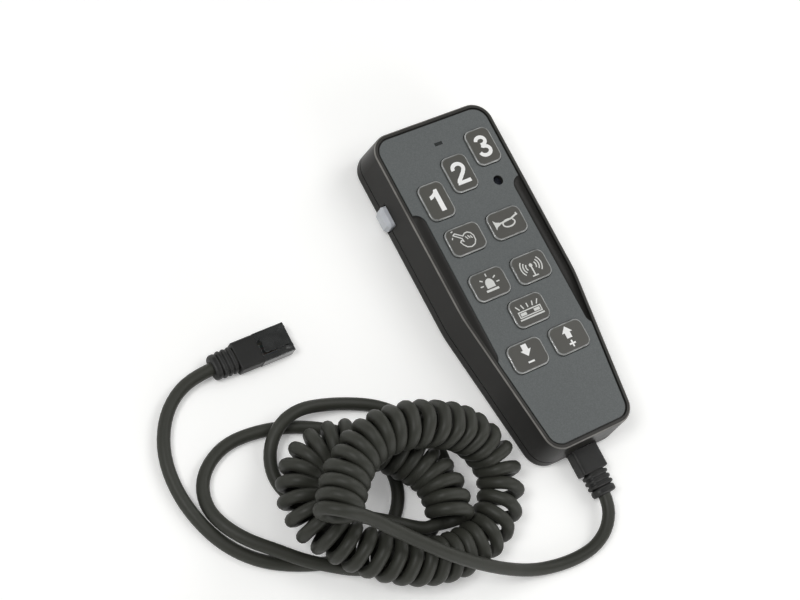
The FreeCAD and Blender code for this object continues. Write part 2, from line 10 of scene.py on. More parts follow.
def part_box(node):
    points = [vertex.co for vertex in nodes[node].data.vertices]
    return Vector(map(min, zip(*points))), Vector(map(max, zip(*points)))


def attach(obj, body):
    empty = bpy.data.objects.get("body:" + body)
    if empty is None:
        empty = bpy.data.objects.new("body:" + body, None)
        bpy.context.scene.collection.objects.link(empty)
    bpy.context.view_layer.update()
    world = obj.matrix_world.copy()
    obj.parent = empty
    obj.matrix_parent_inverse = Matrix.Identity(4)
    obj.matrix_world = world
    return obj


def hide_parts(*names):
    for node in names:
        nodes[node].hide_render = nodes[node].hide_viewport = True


mm = 0.001
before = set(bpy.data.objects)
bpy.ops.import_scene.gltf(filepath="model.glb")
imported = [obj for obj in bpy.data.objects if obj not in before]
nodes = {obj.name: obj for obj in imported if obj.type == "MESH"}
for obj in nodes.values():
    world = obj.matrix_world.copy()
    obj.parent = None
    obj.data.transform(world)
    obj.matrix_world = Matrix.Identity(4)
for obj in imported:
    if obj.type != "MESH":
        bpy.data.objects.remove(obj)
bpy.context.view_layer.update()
scene = bpy.context.scene
print("frame loaded:", len(nodes), "nodes")


def srgb(hexCode):
    # sRGB hex to the linear colour that nodes want
    channels = [int(hexCode[i:i + 2], 16) / 255 for i in (0, 2, 4)]
    linear = [c / 12.92 if c <= 0.04045 else ((c + 0.055) / 1.055) ** 2.4 for c in channels]
    return (*linear, 1.0)


def addNode(tree, kind, values=None, links=None, stops=(), **settings):
    # one node: its settings, the values on its sockets, what is linked in, and a ramp's hex stops
    node = tree.nodes.new(kind)
    for setting, value in settings.items():
        setattr(node, setting, value)
    for socket, value in (values or {}).items():
        node.inputs[socket].default_value = value
    for socket, source in (links or {}).items():
        tree.links.new(source, node.inputs[socket])
    for i, (position, hexCode) in enumerate(stops):
        elements = node.color_ramp.elements
        element = elements[i] if i < 2 else elements.new(position)
        element.position, element.color = position, srgb(hexCode)
    return node


def meshObject(name, bm):
    mesh = bpy.data.meshes.new(name)
    bm.to_mesh(mesh)
    bm.free()
    obj = bpy.data.objects.new(name, mesh)
    scene.collection.objects.link(obj)
    return obj


# place, lens and sensor in mm; the three directions are the camera's own right, up and back
view = {
    "place": (-324.17, -118.94, 592.95),
    "right": (0.83567, -0.45593, 0.30623),
    "up": (0.3428, 0.86861, 0.35777),
    "back": (-0.42912, -0.19401, 0.88217),
    "lens": 78.84, "sensor": 36,
}

# each soft box: place and aim in mm, side in mm, watts
lamps = {
    "main": ((-1020, 190, 1550), (-30, 0, 0), 520, 12.5),
    "head": ((-150, 750, 1750), (-30, 0, 0), 1200, 3.4),
    "sheen": ((820, -230, 1500), (0, 0, 10), 800, 5.0),
    "right": ((1260, 300, 1080), (0, 0, 10), 700, 4.5),
    "foot": ((380, -1550, 650), (-20, -40, 10), 1000, 5.5),
}

# distances in metres; the card's own glow grows from the lit middle out to where the lamps no longer reach
studio = {
    "world": 0.2, "card": "f6f6f4", "cardRadius": 8.0, "cardSides": 64, "wallHeight": 3.0,
    "glow": (0.235, 1.0), "glowFrom": 0.42, "glowTo": 1.9,
}


def makeCamera():
    data = bpy.data.cameras.new("camera")
    data.lens = view["lens"]
    data.sensor_width = view["sensor"]
    data.clip_start = 0.01
    data.clip_end = 80
    camera = bpy.data.objects.new("camera", data)
    axes = [Vector(view[axis]).normalized() for axis in ("right", "up", "back")]
    turn = Matrix(axes).transposed().to_4x4()
    camera.matrix_world = Matrix.Translation(Vector(view["place"]) * mm) @ turn
    scene.collection.objects.link(camera)
    scene.camera = camera


def makeLamps():
    for name, (place, aim, side, watts) in lamps.items():
        data = bpy.data.lights.new(name, "AREA")
        data.energy = watts
        data.size = side * mm
        lamp = bpy.data.objects.new(name, data)
        lamp.location = Vector(place) * mm
        lamp.rotation_mode = "QUATERNION"
        lamp.rotation_quaternion = (Vector(aim) - Vector(place)).to_track_quat("-Z", "Y")
        scene.collection.objects.link(lamp)
    world = bpy.data.worlds.new("studio")
    world.use_nodes = True
    world.node_tree.nodes["Background"].inputs["Color"].default_value = (1, 1, 1, 1)
    world.node_tree.nodes["Background"].inputs["Strength"].default_value = studio["world"]
    scene.world = world


# white card, turned up all round far away: it glows to the eye and in reflections, so it stays white
# and keeps shadows
def makeCard():
    bm = bmesh.new()
    bmesh.ops.create_circle(bm, cap_ends=True, segments=studio["cardSides"], radius=studio["cardRadius"])
    wall = bmesh.ops.extrude_edge_only(bm, edges=bm.edges[:])["geom"]
    bmesh.ops.translate(bm, verts=[part for part in wall if isinstance(part, bmesh.types.BMVert)],
                        vec=(0, 0, studio["wallHeight"]))
    card = meshObject("card", bm)
    finish = bpy.data.materials.new("whiteCard")
    finish.use_nodes = True
    tree = finish.node_tree
    shader = tree.nodes["Principled BSDF"]
    shader.inputs["Base Color"].default_value = srgb(studio["card"])
    shader.inputs["Roughness"].default_value = 0.9
    shader.inputs["Emission Color"].default_value = (1, 1, 1, 1)
    rays = addNode(tree, "ShaderNodeLightPath").outputs
    mirrored = addNode(tree, "ShaderNodeMath", operation="ADD",
                       links={0: rays["Is Glossy Ray"], 1: rays["Is Transmission Ray"]})
    seen = addNode(tree, "ShaderNodeMath", links={0: rays["Is Camera Ray"], 1: mirrored.outputs[0]},
                   operation="ADD", use_clamp=True)
    place = addNode(tree, "ShaderNodeTexCoord")
    away = addNode(tree, "ShaderNodeVectorMath", links={0: place.outputs["Object"]}, operation="LENGTH")
    glow = addNode(tree, "ShaderNodeMapRange",
                   {"From Min": studio["glowFrom"], "From Max": studio["glowTo"],
                    "To Min": studio["glow"][0], "To Max": studio["glow"][1]},
                   {"Value": away.outputs["Value"]}, interpolation_type="SMOOTHSTEP")
    lift = addNode(tree, "ShaderNodeMath", links={0: seen.outputs[0], 1: glow.outputs["Result"]},
                   operation="MULTIPLY")
    tree.links.new(lift.outputs[0], shader.inputs["Emission Strength"])
    card.data.materials.append(finish)


scene.view_settings.view_transform = "Standard"
makeCamera()
makeLamps()
makeCard()
print("camera, lamps and card made")


def startMaterial(name, **shaderValues):
    # shaderValues: Principled sockets by name, with spaces as underscores
    material = bpy.data.materials.new(name)
    material.use_nodes = True
    tree = material.node_tree
    shader = tree.nodes["Principled BSDF"]
    for socket, value in shaderValues.items():
        shader.inputs[socket.replace("_", " ")].default_value = value
    place = addNode(tree, "ShaderNodeTexCoord").outputs["Object"]
    return material, tree, shader, place


# Moulded plastics and rubbers, cloth and ink. Their skin is a grain of about 0.1 mm, drawn two to
# seven times coarser so that it shows; the colour drifts by a shade over some centimetres; handling
# leaves smoother, shinier patches of about a centimetre.
def moulded(name, colours, roughness, grainSize, grainDepth, rubSize=14.0, **shaderValues):
    material, tree, shader, place = startMaterial(name, **shaderValues)
    drift = addNode(tree, "ShaderNodeTexNoise", {"Scale": 1 / (45 * mm), "Detail": 3}, {"Vector": place})
    tint = addNode(tree, "ShaderNodeValToRGB", links={"Fac": drift.outputs["Fac"]},
                   stops=[(0.3, colours[0]), (0.7, colours[1])])
    tree.links.new(tint.outputs["Color"], shader.inputs["Base Color"])
    grain = addNode(tree, "ShaderNodeTexNoise", {"Scale": 1 / (grainSize * mm), "Detail": 4},
                    {"Vector": place})
    rubbed = addNode(tree, "ShaderNodeTexNoise", {"Scale": 1 / (rubSize * mm), "Detail": 2},
                     {"Vector": place})
    uneven = addNode(tree, "ShaderNodeMath", {1: 0.5}, operation="MULTIPLY_ADD",
                     links={0: rubbed.outputs["Fac"], 2: grain.outputs["Fac"]})
    gloss = addNode(tree, "ShaderNodeMapRange",
                    {"From Min": 0.45, "From Max": 1.05, "To Min": roughness[0], "To Max": roughness[1]},
                    {"Value": uneven.outputs[0]})
    tree.links.new(gloss.outputs["Result"], shader.inputs["Roughness"])
    bump = addNode(tree, "ShaderNodeBump", {"Strength": 0.5, "Distance": grainDepth * mm},
                   {"Height": grain.outputs["Fac"]})
    tree.links.new(bump.outputs["Normal"], shader.inputs["Normal"])
    return material


# A face counts as a rounded edge, and takes the painted highlight, while its normal's upward part lies
# between upright and level; a level face keeps a little of the tint. The tint comes in over the fade, in
# mm of height.
edgeHighlightLook = {"fade": 0.3, "upright": (0.2, 0.5), "level": (0.88, 0.98), "onLevel": 0.12}


# Painted highlight: a lighter tint on rounded edges above a height, in patches, standing in for the
# glints that the lamps leave on the rim, the boots and the clear plastics' edges.
def paintEdgeHighlight(material, low, tint, patchSize, least):
    tree = material.node_tree
    shader = tree.nodes["Principled BSDF"]
    place = addNode(tree, "ShaderNodeTexCoord").outputs["Object"]
    height = addNode(tree, "ShaderNodeSeparateXYZ", links={0: place})
    turned = addNode(tree, "ShaderNodeSeparateXYZ",
                     links={0: addNode(tree, "ShaderNodeNewGeometry").outputs["Normal"]})
    above = addNode(tree, "ShaderNodeMapRange",
                    {"From Min": low, "From Max": low + edgeHighlightLook["fade"] * mm},
                    {"Value": height.outputs["Z"]}, interpolation_type="SMOOTHSTEP")
    leaning = addNode(tree, "ShaderNodeMapRange",
                      {"From Min": edgeHighlightLook["upright"][0], "From Max": edgeHighlightLook["upright"][1]},
                      {"Value": turned.outputs["Z"]}, interpolation_type="SMOOTHSTEP")
    level = addNode(tree, "ShaderNodeMapRange",
                    {"From Min": edgeHighlightLook["level"][0], "From Max": edgeHighlightLook["level"][1], "To Min": 1.0,
                     "To Max": edgeHighlightLook["onLevel"]},
                    {"Value": turned.outputs["Z"]}, interpolation_type="SMOOTHSTEP")
    # patches where the painted highlight shows
    highlightPatches = addNode(tree, "ShaderNodeTexNoise", {"Scale": 1 / (patchSize * mm), "Detail": 3},
                   {"Vector": place})
    patchy = addNode(tree, "ShaderNodeMapRange", {"From Min": 0.3, "From Max": 0.7, "To Min": least},
                     {"Value": highlightPatches.outputs["Fac"]})
    share = above.outputs["Result"]
    for part in (leaning, level, patchy):
        share = addNode(tree, "ShaderNodeMath", links={0: share, 1: part.outputs["Result"]},
                        operation="MULTIPLY").outputs[0]
    base = shader.inputs["Base Color"].links[0].from_socket
    mixed = addNode(tree, "ShaderNodeMix", {7: srgb(tint)}, {0: share, 6: base}, data_type="RGBA")
    tree.links.new(mixed.outputs[2], shader.inputs["Base Color"])


# Polycarbonate film, velvet textured and printed on its back: a matt bluish grey face with a fine
# paler speckle, because its texture, about 0.3 mm across and drawn twice as coarse, scatters the light.
def texturedFilm(name):
    material, tree, shader, place = startMaterial(name, Roughness=0.5, IOR=1.58, Specular_IOR_Level=0.35)
    texture = addNode(tree, "ShaderNodeTexNoise", {"Scale": 1 / (0.45 * mm), "Detail": 4},
                      {"Vector": place})
    cells = addNode(tree, "ShaderNodeTexVoronoi", {"Scale": 1 / (0.7 * mm)}, {"Vector": place})
    drift = addNode(tree, "ShaderNodeTexNoise", {"Scale": 1 / (60 * mm), "Detail": 2}, {"Vector": place})
    speckle = addNode(tree, "ShaderNodeValToRGB", links={"Fac": texture.outputs["Fac"]},
                      stops=[(0.3, "565a5a"), (0.5, "5c6060"), (0.7, "636767")])
    shade = addNode(tree, "ShaderNodeValToRGB", links={"Fac": drift.outputs["Fac"]},
                    stops=[(0.3, "f2f3f3"), (0.7, "ffffff")])
    both = addNode(tree, "ShaderNodeMix", {"Factor": 1.0},
                   {6: speckle.outputs["Color"], 7: shade.outputs["Color"]}, data_type="RGBA",
                   blend_type="MULTIPLY")
    tree.links.new(both.outputs[2], shader.inputs["Base Color"])
    relief = addNode(tree, "ShaderNodeMath", operation="ADD",
                     links={0: texture.outputs["Fac"], 1: cells.outputs["Distance"]})
    bump = addNode(tree, "ShaderNodeBump", {"Strength": 0.35, "Distance": 0.03 * mm},
                   {"Height": relief.outputs[0]})
    tree.links.new(bump.outputs["Normal"], shader.inputs["Normal"])
    return material


# Clear or tinted resin, moulded: polished, with faint flow marks about 3 mm across.
def resin(name, tint, passing, roughness, ior):
    material, tree, shader, place = startMaterial(name, Transmission_Weight=passing, Roughness=roughness,
                                                  IOR=ior)
    flow = addNode(tree, "ShaderNodeTexNoise", {"Scale": 1 / (3 * mm), "Detail": 2, "Distortion": 0.6},
                   {"Vector": place})
    colours = addNode(tree, "ShaderNodeValToRGB", links={"Fac": flow.outputs["Fac"]},
                      stops=[(0.3, tint[0]), (0.7, tint[1])])
    tree.links.new(colours.outputs["Color"], shader.inputs["Base Color"])
    bump = addNode(tree, "ShaderNodeBump", {"Strength": 0.3, "Distance": 0.02 * mm},
                   {"Height": flow.outputs["Fac"]})
    tree.links.new(bump.outputs["Normal"], shader.inputs["Normal"])
    return material


# Plated metal: bright, with rub marks of about 0.25 mm and slightly duller patches.
def plated(name, tint, roughness):
    material, tree, shader, place = startMaterial(name, Metallic=1.0)
    rub = addNode(tree, "ShaderNodeTexNoise", {"Scale": 1 / (0.25 * mm), "Detail": 3}, {"Vector": place})
    colours = addNode(tree, "ShaderNodeValToRGB", links={"Fac": rub.outputs["Fac"]},
                      stops=[(0.3, tint[0]), (0.75, tint[1])])
    tree.links.new(colours.outputs["Color"], shader.inputs["Base Color"])
    gloss = addNode(tree, "ShaderNodeMapRange", {"To Min": roughness[0], "To Max": roughness[1]},
                    {"Value": rub.outputs["Fac"]})
    tree.links.new(gloss.outputs["Result"], shader.inputs["Roughness"])
    bump = addNode(tree, "ShaderNodeBump", {"Strength": 0.2, "Distance": 0.01 * mm},
                   {"Height": rub.outputs["Fac"]})
    tree.links.new(bump.outputs["Normal"], shader.inputs["Normal"])
    return material


# Glass-filled epoxy board under solder mask: glossy green, with the weave of about 0.5 mm showing
# through and copper tracks a shade lighter.
def solderMask(name):
    material, tree, shader, place = startMaterial(name, Roughness=0.28, IOR=1.5, Coat_Weight=0.3)
    tracks = addNode(tree, "ShaderNodeTexBrick",
                     {"Scale": 1 / (5 * mm), "Color1": srgb("1d5a35"), "Color2": srgb("1b5331"),
                      "Mortar": srgb("2c7a49"), "Mortar Size": 0.03}, {"Vector": place})
    weave = addNode(tree, "ShaderNodeTexWave", {"Scale": 1 / (3.2 * mm), "Distortion": 0.4},
                    {"Vector": place})
    tree.links.new(tracks.outputs["Color"], shader.inputs["Base Color"])
    bump = addNode(tree, "ShaderNodeBump", {"Strength": 0.15, "Distance": 0.02 * mm},
                   {"Height": weave.outputs["Fac"]})
    tree.links.new(bump.outputs["Normal"], shader.inputs["Normal"])
    return material


# Extruded PVC, satin: eight conductors side by side across the plug, each in a colour of its own.
def wireInsulation(name, start, pitch):
    material, tree, shader, place = startMaterial(name, Roughness=0.4, IOR=1.5)
    axes = addNode(tree, "ShaderNodeSeparateXYZ", links={"Vector": place})
    colours = ["2f4f9c", "c4622a", "1d1d1d", "a32222", "2f7d3c", "c9b13a", "6b4026", "8a8f94"]
    share = addNode(tree, "ShaderNodeMapRange",
                    {"From Min": start, "From Max": start + len(colours) * pitch},
                    {"Value": axes.outputs["Y"]})
    ramp = addNode(tree, "ShaderNodeValToRGB", links={"Fac": share.outputs["Result"]},
                   stops=[(i / len(colours), colour) for i, colour in enumerate(colours)])
    ramp.color_ramp.interpolation = "CONSTANT"
    tree.links.new(ramp.outputs["Color"], shader.inputs["Base Color"])
    return material


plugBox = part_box("far_plug")
wireRun = {
    "count": 8, "pitch": 1.02, "radius": 0.42, "fromNose": 6.1, "length": 9.5, "lift": -0.2,
    "gather": 0.55,            # how much closer the wires lie at the boot than at the contacts
    "sides": 10, "samples": 16,
}
wireStart = (plugBox[0].y + plugBox[1].y) / 2 - wireRun["count"] / 2 * wireRun["pitch"] * mm

finishes = {
    # shells: injection-moulded ABS with a spark-eroded skin, a soft dull black that shows little glare
    "mouldedAbs": moulded("mouldedAbs", ("242321", "2d2c2a"), (0.28, 0.42), 0.4, 0.02, IOR=1.54,
                          Specular_IOR_Level=0.12),
    "filmPolycarbonate": texturedFilm("filmPolycarbonate"),
    # key bezels: half-clear polycarbonate, a grey frame with polished edges, brightened by a painted
    # highlight below
    "keyPolycarbonate": resin("keyPolycarbonate", ("7c7e7c", "929491"), 0.25, 0.08, 1.58),
    # key plates: printed polycarbonate, a flat warm dark grey
    "platePolycarbonate": moulded("platePolycarbonate", ("3f3e39", "474640"), (0.34, 0.46), 0.25, 0.01,
                                  IOR=1.5),
    # talk button: white ABS that lets a little light in, so its edges look soft and bluish
    "whiteAbs": moulded("whiteAbs", ("c9cdd3", "d6d9de"), (0.3, 0.42), 0.5, 0.012, IOR=1.54,
                        Subsurface_Weight=0.25, Subsurface_Scale=1.5 * mm, Subsurface_Radius=(1, 1, 1)),
    "solderMask": solderMask("solderMask"),
    # switches, chips and the jack: glass-filled nylon, an even near-black satin
    "blackNylon": moulded("blackNylon", ("19191a", "222223"), (0.4, 0.55), 0.35, 0.02, IOR=1.53),
    # lamps: cast epoxy with phosphor, milky yellow and shiny
    "lampEpoxy": resin("lampEpoxy", ("e6e2cb", "f2efdd"), 0.6, 0.15, 1.53),
    # status window: smoked acrylic, glossy and dark until its lamp is lit
    "smokedAcrylic": resin("smokedAcrylic", ("3a3d3d", "4a4d4d"), 0.4, 0.1, 1.49),
    # screws and capsule: zinc on steel, cool grey with a soft shine
    "zincSteel": plated("zincSteel", ("9fa1a3", "b9bbbd"), (0.25, 0.4)),
    # contacts: hard gold over nickel, warm and mirror-like
    "goldPlate": plated("goldPlate", ("cfa94b", "e0c06a"), (0.15, 0.28)),
    # capsule's boot: cast silicone rubber, matt with no clear highlight
    "siliconeRubber": moulded("siliconeRubber", ("1b1b1b", "242424"), (0.6, 0.75), 0.5, 0.03, IOR=1.41),
    # cord's jacket: soft extruded polyurethane, satin warm black with hardly any grain
    "cordPolyurethane": moulded("cordPolyurethane", ("2f302a", "3a3b35"), (0.42, 0.56), 0.7, 0.015,
                                rubSize=8.0, IOR=1.5, Specular_IOR_Level=0.3),
    # boots: PVC moulded over the plugs, a duller black than the jacket
    "bootPvc": moulded("bootPvc", ("1c1c1b", "252524"), (0.38, 0.5), 0.55, 0.02, IOR=1.53,
                       Specular_IOR_Level=0.2),
    # over the microphone: woven polyester, dyed navy, which reads as a deep blue-black
    "navyPolyester": moulded("navyPolyester", ("10141f", "171c2b"), (0.6, 0.8), 0.2, 0.01, IOR=1.5),
    # plugs: clear polycarbonate, polished, tinted dark as painted shade, with the wires just showing
    # through
    "plugPolycarbonate": resin("plugPolycarbonate", ("242625", "303231"), 0.6, 0.05, 1.58),
    # legends: screen-printed ink, matt, white on the big keys and greyer on the small ones
    "whiteInk": moulded("whiteInk", ("ececea", "f4f4f2"), (0.45, 0.6), 0.25, 0.004, IOR=1.5),
    "greyInk": moulded("greyInk", ("d0d1cd", "dadbd7"), (0.45, 0.6), 0.25, 0.004, IOR=1.5),
    "wireInsulation": wireInsulation("wireInsulation", wireStart, wireRun["pitch"] * mm),
}

# painted highlight on each finish's rounded edges: lowest height in metres, tint, patch size in mm, and
# how much of the tint shows at the least
edgeHighlights = {
    "mouldedAbs": (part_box("front_housing")[1].z - 0.75 * mm, "8f8d89", 9, 0.55),
    "keyPolycarbonate": (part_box("key_cap_one")[1].z - 0.6 * mm, "e4e5e4", 3.5, 0.0),
    "plugPolycarbonate": (plugBox[0].z, "c4c6c5", 4, 0.3),
    "bootPvc": (plugBox[0].z, "434342", 6, 0.4),
}
# paint the edge highlights onto these finishes
for name, (low, tint, patchSize, least) in edgeHighlights.items():
    paintEdgeHighlight(finishes[name], low, tint, patchSize, least)

nodeFinish = {
    "front_housing": "mouldedAbs", "rear_cover": "mouldedAbs", "face_panel": "filmPolycarbonate",
    "circuit_board": "solderMask", "key_switches": "blackNylon", "backlight_leds": "lampEpoxy",
    "board_chips": "blackNylon", "talk_switch": "blackNylon", "mic_capsule": "zincSteel",
    "mic_boot": "siliconeRubber", "mic_mesh": "zincSteel", "status_led": "lampEpoxy",
    "status_lens": "smokedAcrylic", "cord_jack": "blackNylon", "jack_contacts": "goldPlate",
    "case_screws": "zincSteel", "board_screws": "zincSteel", "handset_plug": "plugPolycarbonate",
    "handset_plug_contacts": "goldPlate", "handset_plug_boot": "bootPvc",
    "far_plug": "plugPolycarbonate", "far_plug_contacts": "goldPlate", "far_plug_boot": "bootPvc",
    "far_plug_latch": "plugPolycarbonate", "talk_button": "whiteAbs",
}
for name in nodes:
    if name.startswith("key_cap_"):
        nodeFinish[name] = "keyPolycarbonate"
    if name.startswith("key_label_"):
        nodeFinish[name] = "platePolycarbonate"


def dress(obj, finish):
    obj.data.materials.clear()
    obj.data.materials.append(finishes[finish])


for name, finish in nodeFinish.items():
    dress(nodes[name], finish)
print("finishes made:", len(finishes))


# sizes in mm; each section is (half its width, half its height, how square its corners are)
bootLook = {
    "block": (5.7, 3.4, 9.0), "blockLength": 9.2, "bevel": 0.35,
    "lip": (5.95, 3.45, 9.0), "lipLength": 0.55,
    "core": (3.6, 2.75, 3.6),
    "rib": (5.05, 3.66, 3.2), "ribs": 3, "ribPitch": 2.1, "ribThickness": 1.65, "firstRib": 10.55,
    "ribFullness": 0.55,       # 1 is a round rib, less is squarer
    "collar": (4.8, 3.6, 2.7), "collarRound": 1.0,
    "cordHole": (2.5, 2.5, 2.0), "holeDepth": 1.6,
    "around": 64,              # points round each section
    "step": 0.02,              # length of a sudden change of section
    "sharpFrom": 38,           # degrees between faces from which an edge stays sharp
}


def bootSections(length, lipLength):
    # (distance from the front, section) down the boot and back into the cord's hole
    look = bootLook
    bevel = look["bevel"]
    halfWidth, halfHeight, square = look["block"]
    small = (halfWidth - bevel, halfHeight - bevel, square)
    end = look["blockLength"]
    sections = [(-lipLength, look["lip"]), (-look["step"], look["lip"])] if lipLength else []
    sections += [(0, look["block"]), (end - bevel, look["block"]), (end, small),
                 (end + look["step"], look["core"])]
    for i in range(look["ribs"]):
        middle = look["firstRib"] + i * look["ribPitch"]
        for turn in range(-80, 81, 20):
            out = math.cos(math.radians(turn)) ** look["ribFullness"]
            section = [c + (r - c) * out for c, r in zip(look["core"], look["rib"])]
            sections.append((middle + math.sin(math.radians(turn)) * look["ribThickness"] / 2, section))
    curve = look["collarRound"]
    start = look["firstRib"] + (look["ribs"] - 0.5) * look["ribPitch"]
    halfWidth, halfHeight, square = look["collar"]
    sections.append((start, look["core"]))
    for face, way, turns in ((start, 1, (0, 30, 60, 90)), (length, -1, (90, 60, 30, 0))):
        for turn in turns:
            inset = curve * (1 - math.sin(math.radians(turn)))
            back = curve * (1 - math.cos(math.radians(turn)))
            sections.append((face + way * back, (halfWidth - inset, halfHeight - inset, square)))
    return sections + [(length, look["cordHole"]), (length - look["holeDepth"], look["cordHole"])]


# a moulded boot that stands for the plain one, with round ribs and a round collar; the lip of the one
# that is plugged in reaches the housing
def makeBoot(node, along, lipLength):
    low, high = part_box(node)
    turn = Matrix.Rotation(math.radians(-90), 4, "Z") if along == "X" else Matrix()
    front = Vector((high.x, (low.y + high.y) / 2, (low.z + high.z) / 2))
    length = (high.x - low.x) / mm
    if along == "Y":
        front = Vector(((low.x + high.x) / 2, high.y, (low.z + high.z) / 2))
        length = (high.y - low.y) / mm
    bm = bmesh.new()
    rings = []
    for distance, (halfWidth, halfHeight, square) in bootSections(length, lipLength):
        ring = []
        for i in range(bootLook["around"]):
            angle = 2 * math.pi * (i + 0.5) / bootLook["around"]
            c, d = math.cos(angle), math.sin(angle)
            x = math.copysign(abs(c) ** (2 / square), c) * halfWidth
            z = math.copysign(abs(d) ** (2 / square), d) * halfHeight
            ring.append(bm.verts.new((x, -distance, z)))
        rings.append(ring)
    for one, two in zip(rings, rings[1:]):
        for i in range(len(one)):
            j = (i + 1) % len(one)
            bm.faces.new((one[i], one[j], two[j], two[i]))
    bm.faces.new(rings[0])
    bm.faces.new(rings[-1])
    bmesh.ops.recalc_face_normals(bm, faces=bm.faces)
    bmesh.ops.transform(bm, matrix=Matrix.Translation(front) @ turn @ Matrix.Scale(mm, 4), verts=bm.verts)
    piece = meshObject(node + "_moulded", bm)
    piece.data.shade_smooth()
    piece.data.set_sharp_from_angle(angle=math.radians(bootLook["sharpFrom"]))
    dress(piece, "bootPvc")
    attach(piece, "handset")
    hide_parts(node)
    return piece


boots = [makeBoot("handset_plug_boot", "Y", bootLook["lipLength"]), makeBoot("far_plug_boot", "X", 0)]
print("boots made")

cordLook = {
    "diameter": 4.9,
    "turnRadius": 6.3,         # of the cord's centre round the coil's own line
    # share of the way along the coil, and the distance from turn to turn there
    "pitch": [(0, 5.0), (0.13, 5.2), (0.19, 6.7), (0.4, 6.7), (0.46, 5.9), (0.6, 6.0), (0.68, 5.3),
              (1, 5.0)],
    "pointsPerTurn": 12,
    "step": 0.4,               # spacing of the places along the coil's own line
    "aimOver": 4,              # how many of those steps each way give its direction
    "smoothness": 4,           # curve steps from one control point to the next
    "roundness": 4,            # how finely the jacket is rounded
}

# Control points in mm: from the handset, along the coil, and on to the far plug
tailFromHandset = [
    (0, -84, 5.6), (0, -92.5, 5.6), (-4.5, -100.5, 4.5), (-12, -105, 3), (-21, -106, 2.6),
    (-31, -105, 2.6), (-42, -102.5, 5), (-57, -97, 14), (-73.5, -88.5, 25), (-85, -79, 30),
    (-95, -70, 34.5), (-104, -62, 39.5),
]
coilRoute = [
    (-112, -58, 36), (-105.5, -49.5, 35), (-96.5, -41.5, 34.5), (-86, -37.5, 34.5), (-75, -38, 34),
    (-61.5, -41, 30), (-47.5, -46.5, 21), (-38.5, -55.5, 13), (-37.5, -66, 9.5), (-42, -75.5, 9),
    (-51.5, -83, 9), (-64.5, -86, 9.5), (-79.5, -84, 13), (-92, -78.5, 16.5), (-102.5, -70.5, 18),
    (-111.5, -60, 18), (-114.5, -49.5, 16), (-112, -40.5, 14.5), (-106, -33.5, 13.5),
    (-97, -30.5, 14.5), (-87, -33, 15), (-77.5, -39, 15), (-69.5, -46.5, 14), (-63.5, -54.5, 13.5),
    (-62.5, -65, 14.5), (-65.5, -74, 14),
]
tailToFarPlug = [
    (-73.5, -72, 7.5), (-81, -67, 8.5), (-88.5, -61.5, 8.5), (-98, -54, 3.5),
    (-107, -47.5, 2.6), (-113.5, -38.5, 2.6), (-114.5, -29.5, 2.6), (-111.5, -21, 5.5),
    (-105, -15.5, 8.5), (-96.5, -13.5, 8.5), (-86.5, -15, 6), (-75.5, -18, 3), (-65.5, -23, 2.6),
    (-58, -30.5, 2.6), (-52, -40.5, 2.6), (-51, -53, 2.6), (-56.5, -64.5, 2.6), (-68.5, -73.5, 2.6),
    (-81.5, -78, 2.6), (-93.5, -77.5, 4), (-104, -74.5, 7), (-113, -69, 8.5), (-120.5, -63.5, 8.5),
    (-128, -56, 8.5), (-135, -49, 7.5), (-140, -41, 6), (-142, -32.5, 3.5), (-140, -24, 2.6),
    (-134, -17.5, 2.6), (-124.5, -13.5, 2.6), (-112, -14, 2.6), (-100.5, -17, 2.6), (-90, -22, 2.6),
    (-81, -28.5, 2.6), (-75, -36.5, 2.6), (-72, -46, 2.6), (-73.5, -55.5, 2.6), (-79.5, -63.5, 2.6),
    (-89, -68.5, 2.6), (-100.5, -70, 2.6), (-112, -67.5, 2.6), (-124, -62.5, 2.6), (-134, -56, 2.6),
    (-142, -46.5, 2.6), (-147, -34.5, 2.6), (-149, -21.5, 2.6), (-147.5, -8.5, 2.6), (-142, 2.5, 2.6),
    (-134, 10, 3.2), (-123.5, 13.6, 3.65), (-112, 13.6, 3.65),
]


def splineCurve(name, points, resolution=8):
    curve = bpy.data.curves.new(name, "CURVE")
    curve.dimensions = "3D"
    curve.resolution_u = resolution
    spline = curve.splines.new("NURBS")
    spline.points.add(len(points) - 1)
    for point, place in zip(spline.points, points):
        point.co = (*place, 1)
    spline.order_u = 3
    spline.use_endpoint_u = True
    obj = bpy.data.objects.new(name, curve)
    scene.collection.objects.link(obj)
    return obj


# points along a curve that has no thickness yet
def lineOf(obj):
    bpy.context.view_layer.update()
    mesh = bpy.data.meshes.new_from_object(obj.evaluated_get(bpy.context.evaluated_depsgraph_get()))
    points = [vertex.co.copy() for vertex in mesh.vertices]
    bpy.data.meshes.remove(mesh)
    return points


# the same line at an even spacing
def evenly(points, step):
    lengths = [0.0]
    for a, b in zip(points, points[1:]):
        lengths.append(lengths[-1] + (b - a).length)
    count = int(lengths[-1] / step)
    places = []
    k = 0
    for i in range(count + 1):
        wanted = lengths[-1] * i / count
        while k < len(points) - 2 and lengths[k + 1] < wanted:
            k += 1
        span = max(lengths[k + 1] - lengths[k], 1e-9)
        places.append(points[k].lerp(points[k + 1], (wanted - lengths[k]) / span))
    return places, lengths[-1] / count


def pitchAt(share):
    for (low, first), (high, second) in zip(cordLook["pitch"], cordLook["pitch"][1:]):
        if share <= high:
            return first + (second - first) * (share - low) / (high - low)
    return cordLook["pitch"][-1][1]


